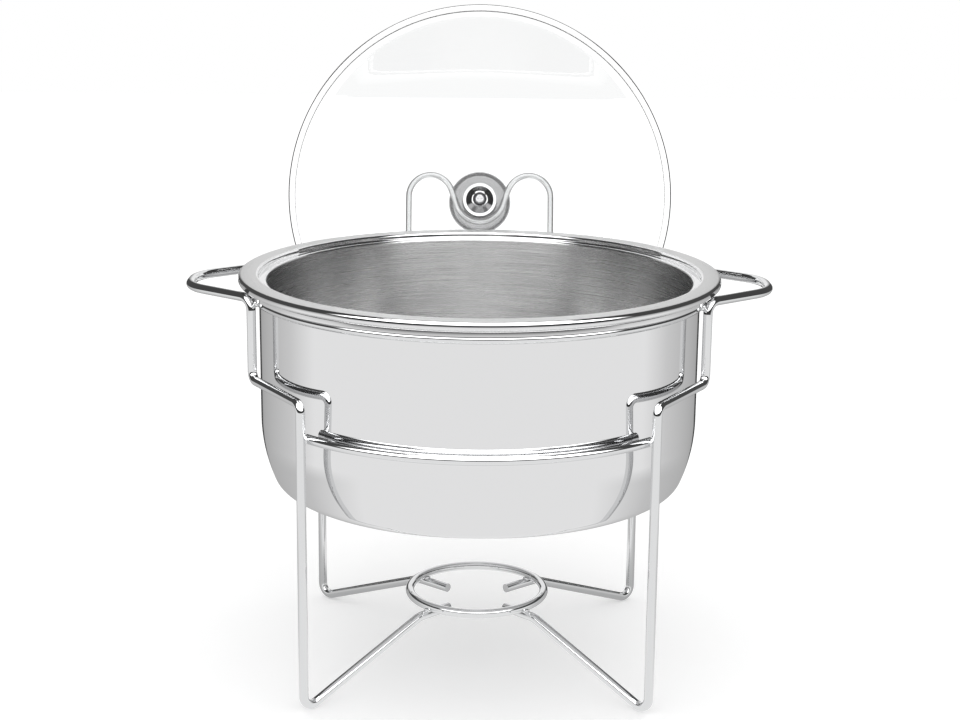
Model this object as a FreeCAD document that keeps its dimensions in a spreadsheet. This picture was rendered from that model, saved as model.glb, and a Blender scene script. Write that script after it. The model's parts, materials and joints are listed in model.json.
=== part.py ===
"""Round wire-stand chafing dish: two nested steel pans, a welded wire stand and a glass lid
parked on a wire rest behind the pans.

Frame: millimetres, +Z up, +X to the right, -Y towards the user; the origin is on the table
under the axis of the pans. The lid pieces are drawn in a frame of their own, +Z out of the
knob side, and set in place together by one placement.
"""
import FreeCAD, Part
import math
import os

import Sketcher
from FreeCAD import Placement, Rotation, Vector

SIZES = {
    # stand
    "wire_diameter": 6.35,
    "ring_radius": 157.0,
    "ring_height": 269.6,
    "front_belt_radius": 159.9,
    "rear_belt_radius": 156.9,
    "belt_height": 192.3,
    "belt_overshoot": 2.0,
    "upright_radius": 163.45,
    "upright_angle": 20.5,
    "front_leg_radius": 167.0,
    "rear_leg_radius": 163.8,
    "jog_height": 217.0,
    "jog_bend": 6.0,
    "front_leg_angle": 46.5,
    "rear_leg_angle": 42.4,
    "front_foot_across": 116.3,
    "front_foot_out": 111.8,
    "rear_foot_across": 121.0,
    "rear_foot_out": 103.0,
    "foot_bend": 8.0,
    "handle_height": 273.1,
    "handle_reach": 200.9,
    "handle_corner": 19.5,
    "handle_start_bend": 8.0,
    "handle_bend": 32.0,
    "burner_ring_radius": 48.6,
    "burner_ring_height": 45.9,
    "burner_wire_gap": 0.05,
    "knee_radius": 56.0,
    "knee_bend": 14.0,
    "stub_radius": 28.0,
    # lid rest, a thinner wire
    "rest_diameter": 5.0,
    "rest_depth": 51.0,
    "rest_leg_across": 58.7,
    "rest_arch": 17.8,
    "rest_inner_corner": 28.2,
    "rest_cradle_drop": 74.7,
    "rest_cradle_bend": 20.0,
    "rest_drop": 174.0,
    "rest_foot_bend": 16.0,
    "rest_weld_height": 124.5,
    "rest_overshoot": 6.0,
    # pans
    "sheet": 0.8,
    "pan_radius": 153.4,
    "pan_base": 132.8,
    "pan_flank": 27.5,
    "pan_flank_bend": 108.0,
    "pan_heel": 10.85,
    "pan_heel_bend": 10.5,
    "seat_gap": 0.3,
    "flange_bend": 1.6,
    "ledge_bend": 0.9,
    "bead_inner": 158.0,
    "bead_outer": 160.8,
    "bead_height": 2.5,
    "bead_bend": 0.5,
    "bead_lip": 0.8,
    "rim_radius": 167.5,
    "rim_height": 282.4,
    "hem_inner": 159.6,
    "hem_depth": 5.9,
    "rim_bend": 1.4,
    "recess_radius": 153.5,
    "recess_depth": 4.0,
    "food_radius": 148.0,
    "food_depth": 100.0,
    "food_corner": 16.0,
    # lid: depths are measured along its axis from the plane of its rim
    "lid_centre_out": 196.5,
    "lid_centre_height": 305.5,
    "lid_lean": 16.0,
    "lid_radius": 152.7,
    "glass_thickness": 4.0,
    "glass_rise": 38.0,
    "glass_flat": 143.5,
    "glass_shoulder": 77.7,
    "glass_dome_bend": 236.0,
    "glass_edge_bend": 12.0,
    "glass_hole": 3.2,
    "band_thickness": 0.5,
    "band_width": 5.2,
    "band_bend": 1.2,
    # knob and its fixing
    "gasket_thickness": 1.0,
    "gasket_radius": 12.6,
    "cup_radius": 13.5,
    "cup_foot": 11.0,
    "cup_crown": 6.0,
    "cup_height": 3.5,
    "cup_crown_bend": 3.0,
    "fixing_hole": 2.8,
    "washer_radius": 5.8,
    "washer_seat": 4.2,
    "washer_rise": 1.4,
    "washer_thickness": 0.6,
    "screw_radius": 2.5,
    "screw_length": 24.0,
    "screw_head_radius": 4.0,
    "screw_head_height": 2.4,
    "screw_head_bend": 1.4,
    "recess_length": 4.8,
    "recess_width": 1.1,
    "recess_sink": 1.5,
    "insert_radius": 5.0,
    "insert_length": 13.5,
    "stem_radius": 13.0,
    "stem_waist": 12.4,
    "stem_height": 14.5,
    "stem_flange": 16.0,
    "stem_bend": 2.0,
    "head_radius": 25.5,
    "head_edge": 0.6,
    "head_dish": 22.0,
    "head_dish_rise": 2.5,
    "head_height": 15.0,
    "head_crown": 9.0,
    "head_shoulder": 15.0,
    "head_shoulder_bend": 5.0,
    "head_crown_bend": 24.0,
}

doc = FreeCAD.newDocument("chafing_dish")
sheet = doc.addObject("Spreadsheet::Sheet", "Sizes")
for row, (name, value) in enumerate(SIZES.items(), start=1):
    sheet.set("A%d" % row, name)
    sheet.set("B%d" % row, str(value))
    sheet.setAlias("B%d" % row, name)
doc.recompute()


class Size:
    """A length or angle that carries both its number and its expression in the sheet."""

    def __init__(self, text, value):
        self.text = text
        self.value = value

    def _join(self, sign, other, value):
        if not isinstance(other, Size):
            other = Size(repr(float(other)), other)
        return Size("(%s %s %s)" % (self.text, sign, other.text), value(self.value, other.value))

    def __add__(self, other):
        return self._join("+", other, lambda a, b: a + b)

    def __sub__(self, other):
        return self._join("-", other, lambda a, b: a - b)

    def __mul__(self, other):
        return self._join("*", other, lambda a, b: a * b)

    def __truediv__(self, other):
        return self._join("/", other, lambda a, b: a / b)

    def __neg__(self):
        return Size("(0 - %s)" % self.text, -self.value)

    def root(self):
        return Size("sqrt(%s)" % self.text, math.sqrt(self.value))


def size(name):
    return Size("Sizes." + name, float(sheet.get(name)))


ZERO = Size("0", 0.0)
S = {name: size(name) for name in SIZES}


def bind(thing, prop, amount):
    thing.setExpression(prop, amount.text)


# ---------------------------------------------------------------- outlines in a sketch

def spot(point):
    return Vector(point[0].value, point[1].value, 0)


def unit(start, end):
    """Unit vector from one (x, z) pair of sizes to another, and the run's length."""
    dx, dz = end[0] - start[0], end[1] - start[1]
    length = (dx * dx + dz * dz).root()
    return dx / length, dz / length, length


def tangent_points(before, corner, after, bend):
    """Where an arc of the given radius meets the two runs of a corner, and its own middle."""
    ux, uz, _ = unit(corner, before)
    wx, wz, _ = unit(corner, after)
    cosine = ux * wx + uz * wz
    reach = bend * ((cosine + 1) / (-cosine + 1)).root()
    start = (corner[0] + ux * reach, corner[1] + uz * reach)
    end = (corner[0] + wx * reach, corner[1] + wz * reach)
    inward = Vector(ux.value + wx.value, uz.value + wz.value, 0).normalize()
    stand_off = bend.value / math.sqrt((1 - cosine.value) / 2) - bend.value
    middle = spot(corner) + inward * stand_off
    return start, middle, end


def hold(sketch, curve, end, point):
    """Tie one end of a curve to a point given by two sizes."""
    for kind, amount, axis in (("DistanceX", point[0], -2), ("DistanceY", point[1], -1)):
        if amount is ZERO:
            sketch.addConstraint(Sketcher.Constraint("PointOnObject", curve, end, axis))
        else:
            held = sketch.addConstraint(Sketcher.Constraint(kind, -1, 1, curve, end, amount.value))
            sketch.setExpression("Constraints[%d]" % held, amount.text)


def draw_outline(sketch, corners, closed):
    """Draw straight runs and tangent arcs through corners (x, z) or (x, z, bend).

    Every end is held by expressions of the sheet, and every arc by its radius as well.
    """
    count = len(corners)
    cuts = []
    arcs = []
    for i, corner in enumerate(corners):
        if len(corner) == 2:
            cuts.append((corner, corner))
            continue
        start, middle, end = tangent_points(corners[i - 1], corner, corners[(i + 1) % count], corner[2])
        cuts.append((start, end))
        arcs.append((start, middle, end, corner[2]))
    for i in range(count if closed else count - 1):
        start, end = cuts[i][1], cuts[(i + 1) % count][0]
        run = sketch.addGeometry(Part.LineSegment(spot(start), spot(end)))
        hold(sketch, run, 1, start)
        hold(sketch, run, 2, end)
    for start, middle, end, bend in arcs:
        if (middle - spot(start)).cross(spot(end) - middle).z < 0:
            start, end = end, start
        arc = sketch.addGeometry(Part.Arc(spot(start), middle, spot(end)))
        hold(sketch, arc, 1, start)
        hold(sketch, arc, 2, end)
        held = sketch.addConstraint(Sketcher.Constraint("Radius", arc, bend.value))
        sketch.setExpression("Constraints[%d]" % held, bend.text)


UPRIGHT = Placement(Vector(0, 0, 0), Rotation(Vector(1, 0, 0), 90))


def in_lid(thing):
    """Put a piece drawn in the lid's frame where the lid rests."""
    thing.Placement = Placement(Vector(0, 0, 0), Rotation(Vector(-1, 0, 0), 90))
    bind(thing, "Placement.Base.y", S["lid_centre_out"])
    bind(thing, "Placement.Base.z", S["lid_centre_height"])
    thing.setExpression("Placement.Rotation.Angle", "(90 + Sizes.lid_lean) * 1 deg")


def formed_sheet(label, corners, thickness, lid=False):
    """Spun or pressed sheet metal or glass: one face's outline, thickened and turned about Z.

    The wall is laid to the left of the outline's direction.
    """
    sketch = doc.addObject("Sketcher::SketchObject", label + "_outline")
    sketch.Placement = UPRIGHT
    draw_outline(sketch, corners, closed=False)
    wall = doc.addObject("Part::Offset2D", label + "_section")
    wall.Source = sketch
    wall.Value = thickness.value
    wall.Mode = "Skin"
    wall.Fill = True
    bind(wall, "Value", thickness)
    turned = doc.addObject("Part::Revolution", label)
    turned.Source = wall
    turned.Axis = Vector(0, 0, 1)
    turned.Angle = 360
    turned.Solid = True
    if lid:
        in_lid(turned)
    return turned


def turned_body(label, corners, lid=True):
    """A solid turned part: a body with one closed outline revolved about its Z axis."""
    body = doc.addObject("PartDesign::Body", label)
    sketch = body.newObject("Sketcher::SketchObject", label + "_outline")
    plane = next(item for item in body.Origin.OriginFeatures if item.Role == "XZ_Plane")
    sketch.AttachmentSupport = [(plane, "")]
    sketch.MapMode = "FlatFace"
    draw_outline(sketch, corners, closed=True)
    turned = body.newObject("PartDesign::Revolution", label + "_turned")
    turned.Profile = sketch
    turned.ReferenceAxis = (sketch, ["V_Axis"])
    turned.Angle = 360
    if lid:
        in_lid(body)
    return body


# ---------------------------------------------------------------- bent wire

def bent_path(stations):
    """Wire centreline through stations (point, bend radius or 0).

    A station with a bend radius is a mitred corner rounded by a tangent arc.
    """
    points = [station[0] for station in stations]
    ends = []
    arcs = {}
    for i, (point, bend) in enumerate(stations):
        if not bend:
            ends.append((point, point))
            continue
        back = (points[i - 1] - point).normalize()
        ahead = (points[i + 1] - point).normalize()
        half = back.getAngle(ahead) / 2
        reach = bend / math.tan(half)
        start, end = point + back * reach, point + ahead * reach
        inward = (back + ahead).normalize()
        arcs[i] = Part.Arc(start, point + inward * (bend / math.sin(half) - bend), end)
        ends.append((start, end))
    edges = []
    for i, (leave, reached) in enumerate(zip(ends, ends[1:] + [None])):
        if i in arcs:
            edges.append(arcs[i].toShape())
        if reached:
            edges.append(Part.LineSegment(leave[1], reached[0]).toShape())
    return Part.Wire(edges)


def swept_wire(label, stations, diameter):
    """Round bar of the given diameter along a bent path."""
    path = doc.addObject("Part::Feature", label + "_path")
    path.Shape = bent_path(stations)
    start = stations[0][0]
    section = doc.addObject("Part::Circle", label + "_section")
    bind(section, "Radius", diameter / 2)
    section.Placement = Placement(start, Rotation(Vector(0, 0, 1), stations[1][0] - start))
    bar = doc.addObject("Part::Sweep", label)
    bar.Sections = [section]
    bar.Spine = (path, [])
    bar.Solid = True
    bar.Frenet = False
    bar.Transition = "Transformed"
    return bar


def on_circle(radius, degrees, height):
    angle = math.radians(degrees)
    return Vector(radius * math.cos(angle), radius * math.sin(angle), height)


def lowest_of_bend(before, corner, after, bend):
    """Height of the lowest point of the centreline's arc round a corner that points down."""
    back = (before - corner).normalize()
    ahead = (after - corner).normalize()
    half = back.getAngle(ahead) / 2
    centre = corner + (back + ahead).normalize() * (bend / math.sin(half))
    tilt = back.cross(ahead).normalize().z
    return centre.z - bend * math.sqrt(1 - tilt * tilt)


# ---------------------------------------------------------------- stand

SETTLING_ROUNDS = 4


def side_half(front):
    """Stations of half a side wire, from its stub under the burner ring up to the handle.

    front is -1 for the half towards the user and +1 for the rear half.
    """
    v = {name: amount.value for name, amount in S.items()}
    wire = v["wire_diameter"]
    end = "front" if front < 0 else "rear"
    foot = Vector(v[end + "_foot_across"], front * v[end + "_foot_out"], 0)
    heading = math.degrees(math.atan2(foot.y, foot.x))
    stub_height = v["burner_ring_height"] - wire - v["burner_wire_gap"]
    upright = on_circle(v["upright_radius"], front * v["upright_angle"], v["jog_height"])
    leg_top = on_circle(v[end + "_leg_radius"], front * v[end + "_leg_angle"], v["jog_height"])
    handle_start = Vector(upright.x, upright.y, v["handle_height"])
    handle_corner = Vector(v["handle_reach"], front * v["handle_corner"], v["handle_height"])
    knee = on_circle(v["knee_radius"], heading, stub_height)
    for _ in range(SETTLING_ROUNDS):
        foot.z += wire / 2 - lowest_of_bend(knee, foot, leg_top, v["foot_bend"])
    return [
        (on_circle(v["stub_radius"], heading, stub_height), 0),
        (knee, v["knee_bend"]),
        (foot, v["foot_bend"]),
        (leg_top, v["jog_bend"]),
        (upright, v["jog_bend"]),
        (handle_start, v["handle_start_bend"]),
        (handle_corner, v["handle_bend"]),
    ]


def side_stations():
    """The whole side wire: the front half, then the rear half walked back to its stub."""
    return side_half(-1) + side_half(+1)[::-1]


right_side = swept_wire("right_side_wire", side_stations(), S["wire_diameter"])
left_side = doc.addObject("Part::Mirroring", "left_side_wire")
left_side.Source = right_side
left_side.Normal = Vector(1, 0, 0)


def ring(label, radius, height):
    """Closed ring of wire lying level about the pans' axis."""
    torus = doc.addObject("Part::Torus", label)
    bind(torus, "Radius1", radius)
    bind(torus, "Radius2", S["wire_diameter"] / 2)
    bind(torus, "Placement.Base.z", height)
    return torus


pan_support_ring = ring("pan_support_ring", S["ring_radius"], S["ring_height"])
burner_ring = ring("burner_ring", S["burner_ring_radius"], S["burner_ring_height"])


def belt(label, radius, leg_angle, middle):
    """Arc of wire between two legs, ends just past them; middle is where its centre points."""
    arc = ring(label, radius, S["belt_height"])
    past = S["belt_overshoot"] / radius * Size("57.29578", math.degrees(1))
    half = -leg_angle + 90 + past
    arc.setExpression("Angle3", "(%s) * 2 deg" % half.text)
    arc.setExpression("Placement.Rotation.Angle", "(%s - %s) * 1 deg" % (middle, half.text))
    return arc


front_belt = belt("front_belt_arc", S["front_belt_radius"], S["front_leg_angle"], "270")
rear_belt = belt("rear_belt_arc", S["rear_belt_radius"], S["rear_leg_angle"], "90")


def lid_point(across, up, out):
    """A point given in the lid's frame: across, up its leaning face, and out of the knob side."""
    lean = math.radians(SIZES["lid_lean"])
    return Vector(across,
                  SIZES["lid_centre_out"] + out * math.cos(lean) + up * math.sin(lean),
                  SIZES["lid_centre_height"] - out * math.sin(lean) + up * math.cos(lean))


def rest_stations():
    """The lid rest: up one leg, over an arch, through the cradle and back down, mirrored."""
    v = {name: amount.value for name, amount in S.items()}
    out = v["rest_depth"]
    cradle = -(v["stem_radius"] + v["seat_gap"] + v["rest_diameter"] / 2)
    turn = math.atan2(v["rest_inner_corner"], v["rest_cradle_drop"])
    corner_low = cradle - v["rest_cradle_bend"] * (1 / math.sin(turn) - 1)
    top = corner_low + v["rest_cradle_drop"]
    leg_foot = lid_point(v["rest_leg_across"], top - v["rest_drop"], out)
    foot, leg_top = side_half(+1)[2][0], side_half(+1)[3][0]
    leg = foot + (leg_top - foot) * ((v["rest_weld_height"] - foot.z) / (leg_top.z - foot.z))
    heading = Vector(leg.x - leg_foot.x, leg.y - leg_foot.y, 0).normalize()
    outside = Vector(-heading.y, heading.x, 0)
    spacing = (v["rest_diameter"] + v["wire_diameter"]) / 2 + v["burner_wire_gap"]
    weld = leg + outside * spacing + heading * v["rest_overshoot"]
    half = [
        (weld, 0),
        (leg_foot, v["rest_foot_bend"]),
        (lid_point(v["rest_leg_across"], top, out), v["rest_arch"]),
        (lid_point(v["rest_inner_corner"], top, out), v["rest_arch"]),
    ]
    middle = [(lid_point(0, corner_low, out), v["rest_cradle_bend"])]
    other = [(Vector(-point.x, point.y, point.z), bend) for point, bend in reversed(half)]
    return half + middle + other


lid_rest = swept_wire("lid_rest_wire", rest_stations(), S["rest_diameter"])


# ---------------------------------------------------------------- pans

flange = S["ring_height"] + S["wire_diameter"] / 2 + S["seat_gap"] / 10
bead_top = flange + S["bead_height"]
water_pan = formed_sheet("water_pan", [
    (ZERO, S["pan_base"]),
    (S["pan_radius"] - S["pan_heel"], S["pan_base"], S["pan_heel_bend"]),
    (S["pan_radius"], S["pan_base"] + S["pan_flank"], S["pan_flank_bend"]),
    (S["pan_radius"], flange, S["flange_bend"]),
    (S["bead_inner"], flange, S["bead_bend"]),
    (S["bead_inner"], bead_top, S["flange_bend"]),
    (S["bead_outer"], bead_top, S["bead_bend"]),
    (S["bead_outer"], flange - S["bead_lip"]),
], S["sheet"])

rim_under = S["rim_height"] - S["sheet"]
ledge_under = rim_under - S["recess_depth"]
recess_outside = S["recess_radius"] + S["sheet"]
food_outside = S["food_radius"] + S["sheet"]
food_base = S["rim_height"] - S["food_depth"]
rim_inside = S["rim_radius"] - S["sheet"]
hem_inside = S["rim_height"] - S["hem_depth"] + S["sheet"]
food_pan = formed_sheet("food_pan", [
    (ZERO, food_base),
    (food_outside, food_base, S["food_corner"]),
    (food_outside, ledge_under, S["ledge_bend"]),
    (recess_outside, ledge_under, S["flange_bend"]),
    (recess_outside, rim_under, S["ledge_bend"]),
    (rim_inside, rim_under, S["rim_bend"]),
    (rim_inside, hem_inside, S["rim_bend"]),
    (S["hem_inner"], hem_inside),
], S["sheet"])


# ---------------------------------------------------------------- lid

half_glass = S["glass_thickness"] / 2
inner_face = S["glass_rise"] - half_glass
outer_face = S["glass_rise"] + half_glass
lid_glass = formed_sheet("lid_glass", [
    (S["glass_hole"], inner_face),
    (S["glass_shoulder"], inner_face, S["glass_dome_bend"]),
    (S["glass_flat"], -half_glass, S["glass_edge_bend"]),
    (S["lid_radius"] - S["band_bend"], -half_glass),
], S["glass_thickness"], lid=True)

band_face = half_glass + S["band_thickness"]
band_inner = S["lid_radius"] - S["band_width"]
lid_rim_band = formed_sheet("lid_rim_band", [
    (band_inner, -band_face),
    (S["lid_radius"], -band_face, S["band_bend"]),
    (S["lid_radius"], band_face, S["band_bend"]),
    (band_inner, band_face),
], S["band_thickness"], lid=True)


def washer(label, low, high, outer, hole):
    """Flat ring between two depths of the lid's axis."""
    return turned_body(label, [(hole, low), (outer, low), (outer, high), (hole, high)])


cup_seat = inner_face - S["gasket_thickness"]
inner_gasket = washer("inner_gasket", cup_seat, inner_face, S["gasket_radius"], S["cup_crown"])
stem_floor = outer_face + S["gasket_thickness"]
outer_gasket = washer("outer_gasket", outer_face, stem_floor, S["gasket_radius"], S["glass_hole"])

crown = cup_seat - S["cup_height"]
inner_cup_washer = formed_sheet("inner_cup_washer", [
    (S["cup_radius"], cup_seat),
    (S["cup_foot"], cup_seat, S["sheet"]),
    (S["cup_crown"], crown, S["cup_crown_bend"]),
    (S["fixing_hole"], crown),
], S["sheet"], lid=True)

dish_seat = crown - S["sheet"]
screw_washer = formed_sheet("screw_washer", [
    (S["washer_radius"], dish_seat - S["washer_rise"]),
    (S["washer_seat"], dish_seat, S["washer_thickness"]),
    (S["fixing_hole"], dish_seat),
], S["washer_thickness"], lid=True)

head_seat = dish_seat - S["washer_thickness"]
head_top = head_seat - S["screw_head_height"]
knob_screw = turned_body("knob_screw", [
    (ZERO, head_top),
    (S["screw_head_radius"], head_top, S["screw_head_bend"]),
    (S["screw_head_radius"], head_seat),
    (S["screw_radius"], head_seat),
    (S["screw_radius"], head_seat + S["screw_length"]),
    (ZERO, head_seat + S["screw_length"]),
])


def cut_cross_recess(body):
    """Sink two crossed slots into the screw's head."""
    doc.recompute()
    for name, across, along in (("slot_one", "recess_length", "recess_width"),
                                ("slot_two", "recess_width", "recess_length")):
        sketch = body.newObject("Sketcher::SketchObject", name)
        plane = next(item for item in body.Origin.OriginFeatures if item.Role == "XY_Plane")
        sketch.AttachmentSupport = [(plane, "")]
        sketch.MapMode = "FlatFace"
        bind(sketch, "AttachmentOffset.Base.z", head_top)
        half_x, half_y = S[across] / 2, S[along] / 2
        draw_outline(sketch, [(-half_x, -half_y), (half_x, -half_y), (half_x, half_y),
                              (-half_x, half_y)], closed=True)
        pocket = body.newObject("PartDesign::Pocket", name + "_pocket")
        pocket.Profile = sketch
        pocket.Reversed = True
        bind(pocket, "Length", S["recess_sink"])
        doc.recompute()


cut_cross_recess(knob_screw)

stem_inside = stem_floor + S["sheet"]
knob_insert = washer("knob_insert", stem_inside, stem_inside + S["insert_length"],
                     S["insert_radius"], S["screw_radius"])
stem_top = stem_floor + S["stem_height"]
knob_stem = formed_sheet("knob_stem", [
    (S["fixing_hole"], stem_floor),
    (S["stem_radius"], stem_floor, S["stem_bend"]),
    (S["stem_waist"], stem_top, S["stem_bend"]),
    (S["stem_flange"], stem_top),
], S["sheet"], lid=True)

head_plate = stem_top - S["sheet"]
knob_underside = formed_sheet("knob_underside", [
    (S["stem_waist"] + S["stem_bend"], head_plate),
    (S["head_dish"], head_plate, S["stem_bend"]),
    (S["head_radius"] - S["sheet"] - S["seat_gap"] / 3, head_plate + S["head_dish_rise"]),
], S["sheet"] - S["seat_gap"] / 3, lid=True)

head_edge = head_plate + S["head_edge"]
head_crest = head_plate + S["head_height"]
knob_cap = formed_sheet("knob_cap", [
    (S["head_radius"], head_edge),
    (S["head_radius"], head_crest - S["head_crown"], S["head_shoulder_bend"]),
    (S["head_shoulder"], head_crest, S["head_crown_bend"]),
    (ZERO, head_crest),
], S["sheet"], lid=True)


# ---------------------------------------------------------------- check and write

NODES = [right_side, left_side, pan_support_ring, burner_ring, front_belt, rear_belt, lid_rest,
         water_pan, food_pan, lid_glass, lid_rim_band, inner_gasket, outer_gasket,
         inner_cup_washer, screw_washer, knob_screw, knob_insert, knob_stem, knob_underside,
         knob_cap]

doc.recompute()
for item in doc.Objects:
    if "Invalid" in item.State or "Error" in item.State:
        raise SystemExit("%s failed: %s" % (item.Label, item.State))
for node in NODES:
    if node.Shape.isNull() or not node.Shape.isValid() or len(node.Shape.Solids) != 1:
        raise SystemExit("%s has no single valid solid" % node.Label)

os.makedirs("parts", exist_ok=True)
for node in NODES:
    node.Shape.exportStep("parts/%s.step" % node.Label)
    print("%-18s %9.1f mm3" % (node.Label, node.Shape.Volume))
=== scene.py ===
import json
import math

import bpy
from mathutils import Matrix, Vector


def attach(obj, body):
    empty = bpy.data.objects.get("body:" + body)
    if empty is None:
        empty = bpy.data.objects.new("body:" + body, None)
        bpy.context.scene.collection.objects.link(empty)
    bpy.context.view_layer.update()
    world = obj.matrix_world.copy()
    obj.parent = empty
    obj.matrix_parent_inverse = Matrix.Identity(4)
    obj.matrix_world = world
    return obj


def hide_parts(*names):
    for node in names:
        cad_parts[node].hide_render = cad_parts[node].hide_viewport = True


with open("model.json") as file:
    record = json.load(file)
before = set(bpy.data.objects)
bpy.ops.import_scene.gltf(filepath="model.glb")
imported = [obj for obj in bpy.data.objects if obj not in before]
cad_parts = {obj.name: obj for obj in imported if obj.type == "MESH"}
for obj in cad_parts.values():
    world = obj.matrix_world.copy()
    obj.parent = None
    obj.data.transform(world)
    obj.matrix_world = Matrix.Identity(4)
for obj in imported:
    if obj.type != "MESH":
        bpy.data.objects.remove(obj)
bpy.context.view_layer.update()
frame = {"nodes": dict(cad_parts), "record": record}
nodes = frame["nodes"]

MM = 0.001
TURNS = 288             # steps round a large turned piece
KNOB_TURNS = 128
SMALL_TURNS = 96
SHARP_ANGLE = 40        # degrees between faces from which an edge shows as an edge
MITRE_LIMIT = 0.3       # keeps a wall's corner from running out to a spike
ON_AXIS = 1e-6

# sizes in mm, the same as the CAD part's
SHEET = 0.8
PAN_RADIUS, PAN_BASE, PAN_FLANGE = 153.4, 132.8, 272.805
BEAD_INNER, BEAD_OUTER, BEAD_TOP = 158.0, 160.8, 275.305
FOOD_OUTSIDE, FOOD_BASE = 148.8, 182.4
LEDGE_UNDER, RECESS_OUTSIDE = 277.6, 154.3
RIM_UNDER, RIM_INSIDE, HEM_HEIGHT, HEM_INNER = 281.6, 166.7, 277.3, 159.6
RIM_FLAT = (155.2, 166.0)
# lid, measured out along its own axis from the plane of its rim
LID_OUT, LID_HEIGHT, LID_LEAN = 196.5, 305.5, 16.0
LID_RADIUS, GLASS, GLASS_INNER = 152.7, 4.0, 36.0
BAND, BAND_INNER, BAND_FACE, BAND_BEND = 0.5, 147.5, 2.5, 1.2
CUP_SEAT, CUP_CROWN = 35.0, 31.5
STEM_FLOOR, STEM_TOP = 41.0, 55.5
HEAD_PLATE, HEAD_RADIUS, HEAD_CREST = 54.7, 25.5, 69.7
FIXING_HOLE = 2.8


# ---------------------------------------------------------------- materials

def node_tree(owner):
    """An owner's node tree, emptied."""
    owner.use_nodes = True
    tree = owner.node_tree
    tree.nodes.clear()
    return tree


def principled(name, color, **sockets):
    """A material whose plain values sit on the shader's own sockets."""
    material = bpy.data.materials.new(name)
    tree = node_tree(material)
    shader = tree.nodes.new("ShaderNodeBsdfPrincipled")
    output = tree.nodes.new("ShaderNodeOutputMaterial")
    tree.links.new(shader.outputs["BSDF"], output.inputs["Surface"])
    shader.inputs["Base Color"].default_value = (*color, 1.0)
    for socket, value in sockets.items():
        shader.inputs[socket.replace("_", " ")].default_value = value
    return material, tree, shader


def math_node(tree, operation, first, second):
    """A Math node whose two inputs are each a socket to link or a plain number."""
    node = tree.nodes.new("ShaderNodeMath")
    node.operation = operation
    for slot, value in enumerate((first, second)):
        if isinstance(value, bpy.types.NodeSocket):
            tree.links.new(value, node.inputs[slot])
        else:
            node.inputs[slot].default_value = value
    return node.outputs[0]


GRAIN_LOW, GRAIN_HIGH = 0.3, 0.7    # the part of the noise's range that the steel uses
GRAIN_DRIFT = 14.0                  # how fast the lines change along their length, per metre
GRAIN_DEPTH = 0.00005


def steel_lines(tree, shader, pitch, base, swing, roughness, rough_swing, bump):
    """Fine turning lines round the Z axis: they run level on walls and in circles on floors.

    pitch is in metres; base and swing give the grey, roughness and rough_swing the polish.
    """
    new, link = tree.nodes.new, tree.links.new
    coords = new("ShaderNodeTexCoord")
    split = new("ShaderNodeSeparateXYZ")
    link(coords.outputs["Object"], split.inputs[0])
    x, y, z = (split.outputs[axis] for axis in "XYZ")
    squares = math_node(tree, "ADD", math_node(tree, "MULTIPLY", x, x), math_node(tree, "MULTIPLY", y, y))
    radius = math_node(tree, "SQRT", squares, 0.0)
    along = math_node(tree, "ADD", radius, z)
    stretched = new("ShaderNodeCombineXYZ")
    link(math_node(tree, "MULTIPLY", x, GRAIN_DRIFT), stretched.inputs["X"])
    link(math_node(tree, "MULTIPLY", y, GRAIN_DRIFT), stretched.inputs["Y"])
    link(math_node(tree, "MULTIPLY", along, 1.0 / pitch), stretched.inputs["Z"])
    noise = new("ShaderNodeTexNoise")
    link(stretched.outputs[0], noise.inputs["Vector"])
    noise.inputs["Scale"].default_value = 1.0
    noise.inputs["Detail"].default_value = 3.0
    grain = noise.outputs["Fac"]
    tone = new("ShaderNodeValToRGB")
    for stop, position, grey in zip(tone.color_ramp.elements, (GRAIN_LOW, GRAIN_HIGH),
                                    (base - swing, base + swing)):
        stop.position = position
        stop.color = (grey, grey, grey, 1.0)
    link(grain, tone.inputs[0])
    link(tone.outputs[0], shader.inputs["Base Color"])
    gloss = new("ShaderNodeMapRange")
    link(grain, gloss.inputs["Value"])
    gloss.inputs["From Min"].default_value = GRAIN_LOW
    gloss.inputs["From Max"].default_value = GRAIN_HIGH
    gloss.inputs["To Min"].default_value = roughness - rough_swing
    gloss.inputs["To Max"].default_value = roughness + rough_swing
    link(gloss.outputs[0], shader.inputs["Roughness"])
    relief = new("ShaderNodeBump")
    relief.inputs["Strength"].default_value = bump
    relief.inputs["Distance"].default_value = GRAIN_DEPTH
    link(grain, relief.inputs["Height"])
    link(relief.outputs[0], shader.inputs["Normal"])


def turned_steel(name, brushing, anisotropic=0.0):
    """Spun steel with turning lines; its grey and roughness come from the lines' own settings."""
    material, tree, shader = principled(name, (0.6, 0.6, 0.6), Metallic=1.0, Anisotropic=anisotropic)
    shader.inputs["Anisotropic Rotation"].default_value = 0.25 if anisotropic else 0.0
    steel_lines(tree, shader, **brushing)
    return material


chrome, _, _ = principled("chrome_wire", (0.74, 0.745, 0.75), Metallic=1.0, Roughness=0.05)
mirror, _, _ = principled("mirror_steel", (0.76, 0.76, 0.765), Metallic=1.0, Roughness=0.03)
satin = turned_steel("satin_inside", dict(pitch=0.0006, base=0.5, swing=0.018, roughness=0.26,
                                          rough_swing=0.03, bump=0.1), anisotropic=0.85)
rim = turned_steel("satin_rim", dict(pitch=0.0008, base=0.58, swing=0.02, roughness=0.3,
                                     rough_swing=0.03, bump=0.1))
band = turned_steel("band_steel", dict(pitch=0.0008, base=0.3, swing=0.015, roughness=0.16,
                                       rough_swing=0.03, bump=0.05))
fitting, _, _ = principled("knob_steel", (0.42, 0.42, 0.425), Metallic=1.0, Roughness=0.12)
plated, _, _ = principled("plated_screw", (0.3, 0.3, 0.305), Metallic=1.0, Roughness=0.2)
brass, _, _ = principled("turned_brass", (0.72, 0.55, 0.26), Metallic=1.0, Roughness=0.3)
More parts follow.
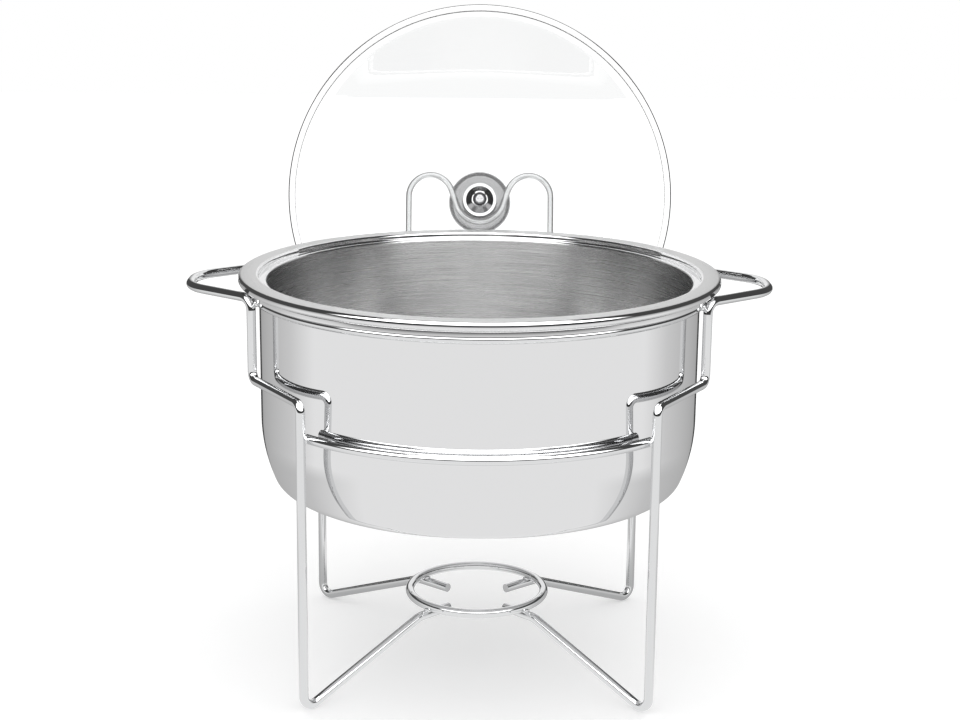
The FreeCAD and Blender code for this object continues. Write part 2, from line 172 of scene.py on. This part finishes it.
rubber, _, _ = principled("black_rubber", (0.03, 0.03, 0.03), Roughness=0.7)
glass, _, _ = principled("clear_glass", (0.985, 0.99, 0.99), Roughness=0.0, IOR=1.48,
                         Transmission_Weight=1.0)


# ---------------------------------------------------------------- turned pieces

def rounded(corners, step):
    """Outline points through corners (r, z) or (r, z, bend), each bend a tangent arc."""
    points = []
    for i, corner in enumerate(corners):
        here = Vector(corner[:2])
        if len(corner) == 2:
            points.append(here)
            continue
        back = (Vector(corners[i - 1][:2]) - here).normalized()
        ahead = (Vector(corners[i + 1][:2]) - here).normalized()
        half = back.angle(ahead) / 2
        reach = corner[2] / math.tan(half)
        centre = here + (back + ahead).normalized() * (corner[2] / math.sin(half))
        start = here + back * reach - centre
        sweep = start.angle_signed(here + ahead * reach - centre)
        count = max(3, math.ceil(math.degrees(abs(sweep)) / step))
        for k in range(count + 1):
            turn = Matrix.Rotation(-sweep * k / count, 2)
            points.append(centre + turn @ start)
    return points


def laid_left(points, thickness):
    """The same outline moved to its own left by thickness."""
    moved = []
    for i, here in enumerate(points):
        runs = []
        if i:
            runs.append((here - points[i - 1]).normalized())
        if i < len(points) - 1:
            runs.append((points[i + 1] - here).normalized())
        normals = [Vector((-run.y, run.x)) for run in runs]
        middle = sum(normals, Vector((0, 0))).normalized()
        moved.append(here + middle * (thickness / max(MITRE_LIMIT, middle.dot(normals[0]))))
    return moved


def lathe(name, corners, thickness, step=6.0, paint=None, turns=TURNS):
    """Sheet piece turned round Z: corners in mm are one face, the wall lies to their left.

    paint gives each face a material index from the middle of its run (r, z) in mm.
    """
    face = rounded(corners, step)
    wall = laid_left(face, thickness)
    loop = face + wall[::-1]
    verts, rows = [], []
    for point in loop:
        if point.x <= ON_AXIS:
            rows.append([len(verts)])
            verts.append((0.0, 0.0, point.y * MM))
            continue
        rows.append(range(len(verts), len(verts) + turns))
        for k in range(turns):
            angle = 2 * math.pi * k / turns
            reach = point.x * MM
            verts.append((reach * math.cos(angle), reach * math.sin(angle), point.y * MM))
    faces, tints = [], []
    for i, row in enumerate(rows):
        after = rows[(i + 1) % len(rows)]
        if len(row) == 1 and len(after) == 1:
            continue
        middle = (loop[i] + loop[(i + 1) % len(loop)]) / 2
        tint = paint(middle.x, middle.y) if paint else 0
        for k in range(turns):
            n = (k + 1) % turns
            if len(row) == 1:
                corner_list = (row[0], after[n], after[k])
            elif len(after) == 1:
                corner_list = (row[k], row[n], after[0])
            else:
                corner_list = (row[k], row[n], after[n], after[k])
            faces.append(corner_list)
            tints.append(tint)
    mesh = bpy.data.meshes.new(name)
    mesh.from_pydata(verts, [], faces)
    mesh.polygons.foreach_set("material_index", tints)
    mesh.polygons.foreach_set("use_smooth", [True] * len(faces))
    mesh.update()
    mesh.set_sharp_from_angle(angle=math.radians(SHARP_ANGLE))
    piece = bpy.data.objects.new(name, mesh)
    bpy.context.scene.collection.objects.link(piece)
    return piece


def finish_piece(piece, body, materials, replaced):
    """Give a piece its materials, hide the CAD nodes it replaces, and tie it to its body."""
    for material in materials:
        piece.data.materials.append(material)
    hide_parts(*replaced)
    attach(piece, body)


LID_PLACE = (Matrix.Translation((0, LID_OUT * MM, LID_HEIGHT * MM))
             @ Matrix.Rotation(math.radians(-90 - LID_LEAN), 4, "X"))


def lid_piece(name, corners, thickness, slot, materials, replaced, **options):
    """A turned piece of the lid, drawn in the lid's frame and leaned with it."""
    piece = lathe(name, corners, thickness, **options)
    piece.data.transform(LID_PLACE)
    finish_piece(piece, "lid", materials, replaced)
    return piece


def water_pan_shell():
    """Outer pan: flat base, round heel and flank, straight wall, flange and raised bead."""
    pan = lathe("water_pan_shell", [
        (0, PAN_BASE),
        (PAN_RADIUS - 10.85, PAN_BASE, 10.5),
        (PAN_RADIUS, PAN_BASE + 27.5, 108),
        (PAN_RADIUS, PAN_FLANGE, 1.6),
        (BEAD_INNER, PAN_FLANGE, 0.5),
        (BEAD_INNER, BEAD_TOP, 1.6),
        (BEAD_OUTER, BEAD_TOP, 0.5),
        (BEAD_OUTER, PAN_FLANGE - 0.8),
    ], SHEET, step=3.0)
    finish_piece(pan, "water_pan", [mirror], ["water_pan"])


def food_paint(r, z):
    """Brushed rim (1) and brushed inside (0); the rest is polished (2)."""
    if z > RIM_UNDER + 0.1 and RIM_FLAT[0] < r < RIM_FLAT[1]:
        return 1
    return 0 if r < FOOD_OUTSIDE - SHEET / 2 and z > FOOD_BASE + 0.6 else 2


def food_pan_shell():
    """Loose insert: flat base, round corner, wall, recess for the lid and rolled rim."""
    pan = lathe("food_pan_shell", [
        (0, FOOD_BASE),
        (FOOD_OUTSIDE, FOOD_BASE, 16),
        (FOOD_OUTSIDE, LEDGE_UNDER, 0.9),
        (RECESS_OUTSIDE, LEDGE_UNDER, 1.6),
        (RECESS_OUTSIDE, RIM_UNDER, 0.9),
        (RIM_INSIDE, RIM_UNDER, 1.4),
        (RIM_INSIDE, HEM_HEIGHT, 1.4),
        (HEM_INNER, HEM_HEIGHT),
    ], SHEET, paint=food_paint)
    finish_piece(pan, "food_pan", [satin, rim, mirror], ["food_pan"])


def lid_pieces():
    """Domed glass with its rim band, and the sheet pieces of the knob on both sides of it."""
    glass_edge = -GLASS / 2
    lid_piece("lid_glass_dome", [
        (3.2, GLASS_INNER), (77.7, GLASS_INNER, 236), (143.5, glass_edge, 12),
        (LID_RADIUS - BAND_BEND, glass_edge),
    ], GLASS, "clear_glass", [glass], ["lid_glass"], step=1.0)
    lid_piece("lid_band", [
        (BAND_INNER, -BAND_FACE), (LID_RADIUS, -BAND_FACE, BAND_BEND),
        (LID_RADIUS, BAND_FACE, BAND_BEND), (BAND_INNER, BAND_FACE),
    ], BAND, "band_steel", [band], ["lid_rim_band"])
    lid_piece("cup_washer", [
        (13.5, CUP_SEAT), (11, CUP_SEAT, SHEET), (6, CUP_CROWN, 3), (FIXING_HOLE, CUP_CROWN),
    ], SHEET, "polished_steel", [fitting], ["inner_cup_washer"], turns=SMALL_TURNS)
    lid_piece("stem_collar", [
        (FIXING_HOLE, STEM_FLOOR), (13, STEM_FLOOR, 2), (12.4, STEM_TOP, 2), (16, STEM_TOP),
    ], SHEET, "polished_steel", [fitting], ["knob_stem"], turns=SMALL_TURNS)
    lid_piece("knob_under", [
        (14.4, HEAD_PLATE), (22, HEAD_PLATE, 2), (HEAD_RADIUS - 0.9, HEAD_PLATE + 2.5),
    ], SHEET - 0.1, "polished_steel", [fitting], ["knob_underside"], turns=KNOB_TURNS)
    lid_piece("knob_head", [
        (HEAD_RADIUS, HEAD_PLATE + 0.6), (HEAD_RADIUS, HEAD_CREST - 9, 5), (15, HEAD_CREST, 24),
        (0, HEAD_CREST),
    ], SHEET, "polished_steel", [fitting], ["knob_cap"], turns=KNOB_TURNS)


water_pan_shell()
food_pan_shell()
lid_pieces()

# welds between crossing wires: out from the axis, bearing back (+) or front (-) of +X, height and
# reach of the bead, in mm and degrees; each has a mirror image on the left
WELDS = [(160.2, 20.5, 269.2, 2.4), (160.2, -20.5, 269.2, 2.4),
         (160.05, 42.2, 192.4, 2.6), (163.1, -46.2, 192.4, 2.6),
         (48.6, 40.4, 42.7, 2.6), (48.6, -43.9, 42.7, 2.6)]
BEAD_SIDES = 24
BEAD_LUMPS = 0.12


def weld_beads():
    """Small lumpy beads that close the corner between two crossing wires."""
    verts, faces = [], []
    for out, bearing, height, reach in WELDS:
        x = out * math.cos(math.radians(bearing))
        y = out * math.sin(math.radians(bearing))
        for side in (-1, 1):
            base = len(verts)
            for j in range(BEAD_SIDES // 2 + 1):
                rise = math.pi * j / (BEAD_SIDES // 2)
                for k in range(BEAD_SIDES):
                    turn = 2 * math.pi * k / BEAD_SIDES
                    lump = reach * (1 + BEAD_LUMPS * math.sin(3 * turn) * math.sin(2 * rise))
                    verts.append((MM * (side * x + lump * math.sin(rise) * math.cos(turn)),
                                  MM * (y + lump * math.sin(rise) * math.sin(turn)),
                                  MM * (height + lump * math.cos(rise))))
            for j in range(BEAD_SIDES // 2):
                for k in range(BEAD_SIDES):
                    low, high = base + j * BEAD_SIDES, base + (j + 1) * BEAD_SIDES
                    n = (k + 1) % BEAD_SIDES
                    faces.append((low + k, high + k, high + n, low + n))
    mesh = bpy.data.meshes.new("weld_beads")
    mesh.from_pydata(verts, [], faces)
    mesh.polygons.foreach_set("use_smooth", [True] * len(faces))
    mesh.materials.append(chrome)
    piece = bpy.data.objects.new("weld_beads", mesh)
    bpy.context.scene.collection.objects.link(piece)
    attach(piece, "stand")


weld_beads()

FINISHES = {"chrome_wire": chrome, "polished_steel": mirror, "satin_steel": satin,
            "clear_glass": glass, "band_steel": band, "gasket_rubber": rubber,
            "fixing_steel": plated, "knob_brass": brass}
for entry in frame["record"]["subparts"]:
    node = nodes[entry["node"]]
    node.data.materials.clear()
    node.data.materials.append(FINISHES[entry["material_slot"]])


# ---------------------------------------------------------------- studio

def even_world():
    """White all round, for the picture's ground and for what the glass lets through."""
    world = bpy.data.worlds.new("studio")
    world.use_nodes = True
    world.node_tree.nodes["Background"].inputs["Color"].default_value = (1, 1, 1, 1)
    bpy.context.scene.world = world


def reflected_only(card):
    """Studio cards show in polished metal and nowhere else."""
    card.visible_camera = False
    card.visible_shadow = False
    card.visible_diffuse = False
    card.visible_transmission = False
    bpy.context.scene.collection.objects.link(card)


# the tent, in metres: below CLOTH_TOP its wall goes on as the table's cloth, above ROOM_LINE it
# is the room
TENT_RADIUS, TENT_HEIGHT = 0.62, 0.95
CLOTH_TOP, ROOM_LINE = 0.165, 0.2
TENT_COLUMNS, TABLE_RINGS, WALL_ROWS = 180, 30, 95
# tone of the tent's lower cloth by bearing, from the front (0) round either side to the back (1)
CLOTH = [(0.0, 0.97), (0.46, 0.97), (0.56, 0.72), (0.74, 0.5), (0.80, 0.42), (0.815, 0.05),
         (0.93, 0.05), (0.94, 1.0), (1.0, 1.0)]
# tone of the front by height: the dark room over the table's edge, then a tall softbox
FRONT = [(0.0, 0.97), (CLOTH_TOP, 0.97), (0.18, 0.05), (0.34, 0.05), (0.37, 4.0), (0.95, 4.0)]
# how far the front and the sides take part, by bearing
FRONT_SHARE = [(0.0, 0.75), (0.1, 0.85), (0.2, 1.1), (0.3, 1.1), (0.36, 0.0), (1.0, 0.0)]
UPPER_SIDE = [(0.0, 0.06), (0.8, 0.08), (0.88, 1.0), (1.0, 1.0)]
# tone of the table top inside the tent by bearing, and how far out it reaches
TABLE = [(0.0, 0.97), (0.3, 0.97), (0.5, 0.66), (0.8, 0.45), (0.9, 0.97), (1.0, 0.97)]
TABLE_REACH = [(0.0, 1.0), (0.4, 1.0), (0.52, 0.0), (1.0, 0.0)]
# the roof's bright panel, and the dark round it
ROOF_LIGHT, ROOF_DARK = 4.0, 0.05
PANEL_HALF_WIDTH, PANEL_BACK = 0.3, 0.1


def reading(table, at):
    """Value of a table of (place, value) rows at a place, straight between its rows."""
    for (low, a), (high, b) in zip(table, table[1:]):
        if at <= high:
            return a + (b - a) * (at - low) / (high - low)
    return table[-1][1]


def cloth_tone(x, y, z, part):
    """Grey of the tent where it passes through a point of its table, wall or roof."""
    share = math.atan2(abs(x), -y) / math.pi
    cloth = reading(CLOTH, share)
    if part == "table":
        near = reading(TABLE_REACH, math.hypot(x, y))
        return near * reading(TABLE, share) + (1 - near) * cloth
    if part == "roof":
        return ROOF_LIGHT if abs(x) < PANEL_HALF_WIDTH and y < PANEL_BACK else ROOF_DARK
    if z < CLOTH_TOP:
        return cloth
    front = reading(FRONT_SHARE, share)
    side = reading(UPPER_SIDE, share)
    rise = min(1.0, (z - CLOTH_TOP) / (ROOM_LINE - CLOTH_TOP))
    return front * reading(FRONT, z) + (1 - front) * (cloth * (1 - rise) + side * rise)


def tent_cloth():
    """Cloth that glows in the grey painted on the tent's corners."""
    material = bpy.data.materials.new("tent_cloth")
    tree = node_tree(material)
    tone = tree.nodes.new("ShaderNodeVertexColor")
    tone.layer_name = "tone"
    glow = tree.nodes.new("ShaderNodeEmission")
    output = tree.nodes.new("ShaderNodeOutputMaterial")
    tree.links.new(tone.outputs["Color"], glow.inputs["Color"])
    tree.links.new(glow.outputs[0], output.inputs["Surface"])
    return material


def light_tent():
    """A cloth tent round the dish: table, wall and roof, light and dark by bearing and height."""
    rings = [TENT_RADIUS * k / TABLE_RINGS for k in range(1, TABLE_RINGS + 1)]
    profile = [(radius, 0.0, "table") for radius in rings]
    profile += [(TENT_RADIUS, TENT_HEIGHT * k / WALL_ROWS, "wall") for k in range(1, WALL_ROWS)]
    profile += [(radius, TENT_HEIGHT, "roof") for radius in reversed(rings)]
    verts, faces, tones = [], [], []
    for radius, height, part in profile:
        for k in range(TENT_COLUMNS):
            bearing = 2 * math.pi * k / TENT_COLUMNS
            x, y = radius * math.sin(bearing), -radius * math.cos(bearing)
            verts.append((x, y, height))
            tones.append(cloth_tone(x, y, height, part))
    for low in range(0, len(verts) - TENT_COLUMNS, TENT_COLUMNS):
        high = low + TENT_COLUMNS
        for k in range(TENT_COLUMNS):
            n = (k + 1) % TENT_COLUMNS
            faces.append((low + k, low + n, high + n, high + k))
    faces.append(tuple(range(TENT_COLUMNS)))
    faces.append(tuple(range(len(verts) - TENT_COLUMNS, len(verts))))
    mesh = bpy.data.meshes.new("tent")
    mesh.from_pydata(verts, [], faces)
    paint = mesh.color_attributes.new("tone", "FLOAT_COLOR", "POINT")
    for point, tone in zip(paint.data, tones):
        point.color = (tone, tone, tone, 1)
    mesh.materials.append(tent_cloth())
    reflected_only(bpy.data.objects.new("tent", mesh))


FLOOR_REACH = 4.0


def floor():
    """Plain pale floor; polished metal sees the tent's table in its place."""
    corners = [(x * FLOOR_REACH, y * FLOOR_REACH, 0) for x, y in ((-1, -1), (1, -1), (1, 1), (-1, 1))]
    mesh = bpy.data.meshes.new("floor")
    mesh.from_pydata(corners, [], [(0, 1, 2, 3)])
    plane = bpy.data.objects.new("floor", mesh)
    bpy.context.scene.collection.objects.link(plane)
    pale, _, shader = principled("pale_floor", (0.9, 0.9, 0.9), Roughness=0.9, Emission_Strength=0.2,
                                 Specular_IOR_Level=0.0)
    shader.inputs["Emission Color"].default_value = (1, 1, 1, 1)
    mesh.materials.append(pale)
    plane.visible_glossy = False


def softbox(name, place, aim, width, height, power):
    """A soft rectangular lamp at a place, turned towards what it lights."""
    light = bpy.data.lights.new(name, "AREA")
    light.shape = "RECTANGLE"
    light.size, light.size_y = width, height
    light.energy = power
    lamp = bpy.data.objects.new(name, light)
    lamp.location = place
    lamp.rotation_euler = (Vector(aim) - Vector(place)).to_track_quat("-Z", "Y").to_euler()
    bpy.context.scene.collection.objects.link(lamp)


CAMERA_PLACE = (-0.00329, -1.2587, 0.5291)
CAMERA_DOWN, CAMERA_RIGHT, CAMERA_ROLL = 13.895, 0.184, 0.548
CAMERA_LENS = 68.8


def photo_camera():
    """In front of the dish and above it, looking down at it, a touch right and a touch rolled."""
    down, yaw, roll = (math.radians(turn) for turn in (CAMERA_DOWN, CAMERA_RIGHT, CAMERA_ROLL))
    ahead = Vector((math.sin(yaw) * math.cos(down), math.cos(yaw) * math.cos(down), -math.sin(down)))
    level = Vector((math.cos(yaw), -math.sin(yaw), 0))
    upright = level.cross(ahead)
    right = level * math.cos(roll) + upright * math.sin(roll)
    up = upright * math.cos(roll) - level * math.sin(roll)
    data = bpy.data.cameras.new("camera")
    data.sensor_width = 36.0
    data.lens = CAMERA_LENS
    data.clip_end = 20.0
    camera = bpy.data.objects.new("camera", data)
    facing = Matrix((right, up, -ahead)).transposed().to_4x4()
    camera.matrix_world = Matrix.Translation(CAMERA_PLACE) @ facing
    bpy.context.scene.collection.objects.link(camera)
    bpy.context.scene.camera = camera


even_world()
light_tent()
floor()
softbox("top_softbox", place=(0, -0.1, 1.6), aim=(0, 0, 0), width=1.6, height=1.2, power=3.0)
photo_camera()
bpy.context.scene.view_settings.view_transform = "Standard"
